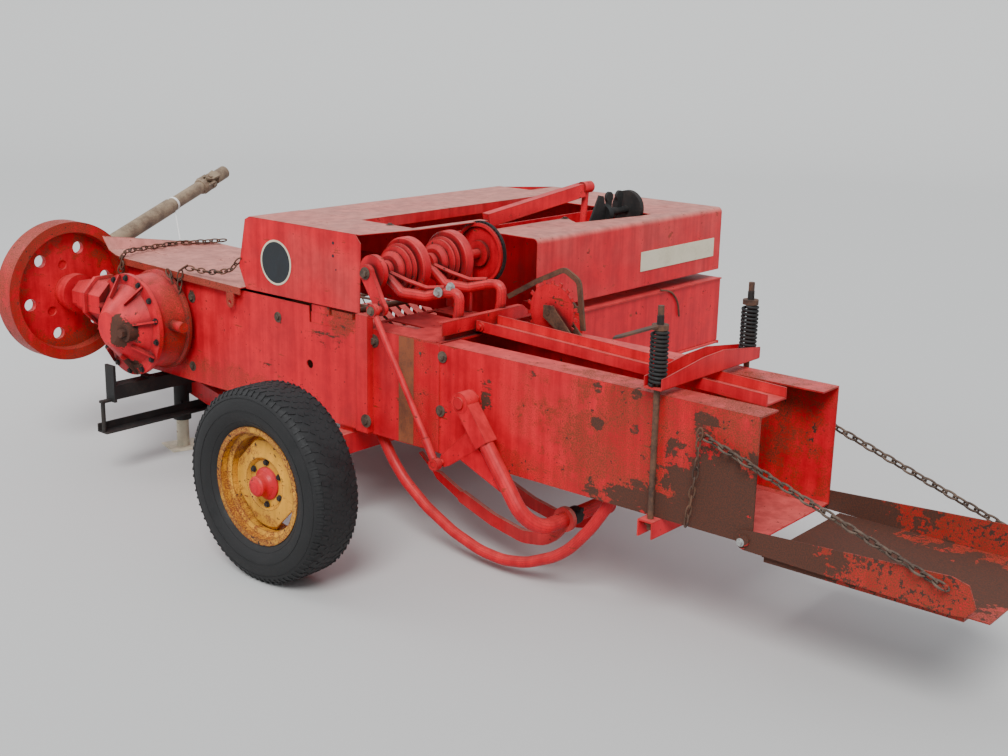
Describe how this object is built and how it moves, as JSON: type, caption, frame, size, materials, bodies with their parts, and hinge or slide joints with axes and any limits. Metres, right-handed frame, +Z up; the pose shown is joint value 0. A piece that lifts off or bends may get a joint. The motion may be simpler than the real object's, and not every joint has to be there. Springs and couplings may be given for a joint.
{
  "type": "square hay baler",
  "caption": "Towed small square hay baler with side pickup, flywheel drive, knotters on the bale chamber, needle yoke and folding chute, parked on its stand.",
  "frame": {"origin": "on the ground below the middle of the machine's outline", "axes": "+Z up, -Y forward towards the tractor, +X to the machine's left"},
  "size_m": [2.5175, 5.2556, 1.249],
  "materials": {
    "red_side": "worn gloss enamel with rust patches",
    "faded_red": "chalky sun-faded enamel",
    "red_cast": "enamel over rough casting",
    "rusty_red": "dull enamel with dirt and rust",
    "yellow_rim": "yellow enamel flaking to rust",
    "tyre": "weathered rubber",
    "dark_iron": "greasy dark iron",
    "rust": "dry surface rust",
    "cream_paint": "chipped cream paint",
    "strap": "woven tie strap"
  },
  "bodies": {
    "root": {"chamber_left_wall": "red_side", "chamber_right_wall": "red_side", "chamber_floor": "rusty_red", "plunger_housing": "red_side", "knotter_table": "red_side", "deck": "faded_red", "knotter_hood": "red_side", "feeder_hood": "red_side", "feeder_floor": "rusty_red", "twine_box": "red_side", "axle": "rusty_red", "gearbox": "red_cast", "front_frame": "dark_iron", "pto_clutch": "rust", "pto_shaft": "rust", "pto_strap": "strap", "needle_guard": "red_side", "knotter_frames": "red_cast", "tension_rails": "red_side", "tension_beams": "red_side", "tension_rods": "rust", "tension_springs": "dark_iron", "chute_chains": "rust", "plunger": "rust", "packer_arm": "red_cast", "packer_drive": "dark_iron", "trip_arm": "rust", "deck_chain": "rust"},
    "left_wheel": {"left_rim": "yellow_rim", "left_tyre": "tyre", "left_hub": "red_side"},
    "right_wheel": {"right_rim": "yellow_rim", "right_tyre": "tyre", "right_hub": "red_side"},
    "tongue": {"drawbar": "rusty_red", "jack_tube": "dark_iron"},
    "jack": {"jack_leg": "cream_paint"},
    "flywheel": {"flywheel": "red_cast"},
    "yoke": {"needle_yoke": "red_side", "needles": "rusty_red"},
    "rod": {"needle_rod": "faded_red"},
    "knotters": {"knotter_shaft": "red_cast"},
    "chute": {"chute": "rust"},
    "pickup": {"pickup_frame": "red_side", "stripper_bands": "red_side", "windguard": "rust"},
    "reel": {"pickup_reel": "rust"},
    "door": {"twine_door": "red_side"},
    "meter": {"metering_wheel": "red_cast"}
  },
  "joints": [
    {"name": "left_wheel_spin", "type": "hinge", "parent": "root", "child": "left_wheel", "pos_m": [1.14, 0.304, 0.345], "axis": [1, 0, 0], "continuous": true},
    {"name": "right_wheel_spin", "type": "hinge", "parent": "root", "child": "right_wheel", "pos_m": [-1.12, -0.02, 0.345], "axis": [1, 0, 0], "continuous": true},
    {"name": "tongue_swing", "type": "hinge", "parent": "root", "child": "tongue", "pos_m": [0.59, -0.4, 0.28], "axis": [0, 0, 1], "range_deg": [0, 20.5]},
    {"name": "jack_slide", "type": "slide", "parent": "tongue", "child": "jack", "axis": [0, 0, 1], "range_m": [0, 0.07]},
    {"name": "flywheel_spin", "type": "hinge", "parent": "root", "child": "flywheel", "pos_m": [0.795, -1.45, 0.713], "axis": [0, 1, 0], "continuous": true},
    {"name": "needle_lift", "type": "hinge", "parent": "root", "child": "yoke", "pos_m": [0.7, 0.79, 0.639], "axis": [-1, 0, 0], "range_deg": [0, 65.9]},
    {"name": "rod_swing", "type": "hinge", "parent": "yoke", "child": "rod", "pos_m": [0.735, 0.691, 0.401], "axis": [1, 0, 0], "range_deg": [-1, 65.2]},
    {"name": "knotter_turn", "type": "hinge", "parent": "root", "child": "knotters", "pos_m": [0.68, 0.31, 1.015], "axis": [1, 0, 0], "range_deg": [-1, 179.3]},
    {"name": "chute_fold", "type": "hinge", "parent": "root", "child": "chute", "pos_m": [0.64, 1.867, 0.414], "axis": [1, 0, 0], "range_deg": [0, 88]},
    {"name": "pickup_lift", "type": "hinge", "parent": "root", "child": "pickup", "pos_m": [0.065, -0.52, 0.56], "axis": [1, 0, 0], "range_deg": [0, 12]},
    {"name": "reel_spin", "type": "hinge", "parent": "pickup", "child": "reel", "pos_m": [-0.56, -0.95, 0.38], "axis": [1, 0, 0], "continuous": true},
    {"name": "twine_door_swing", "type": "hinge", "parent": "root", "child": "door", "pos_m": [-0.76, 0.579, 0.482], "axis": [-1, 0, 0], "range_deg": [0, 100]},
    {"name": "metering_wheel_spin", "type": "hinge", "parent": "root", "child": "meter", "pos_m": [0.209, 0.77, 0.876], "axis": [1, 0, 0], "continuous": true}
  ],
  "couplings": [
    {"joint": "rod_swing", "follows": "needle_lift", "ratio": 0.9747},
    {"joint": "knotter_turn", "follows": "needle_lift", "ratio": 2.7052}
  ]
}
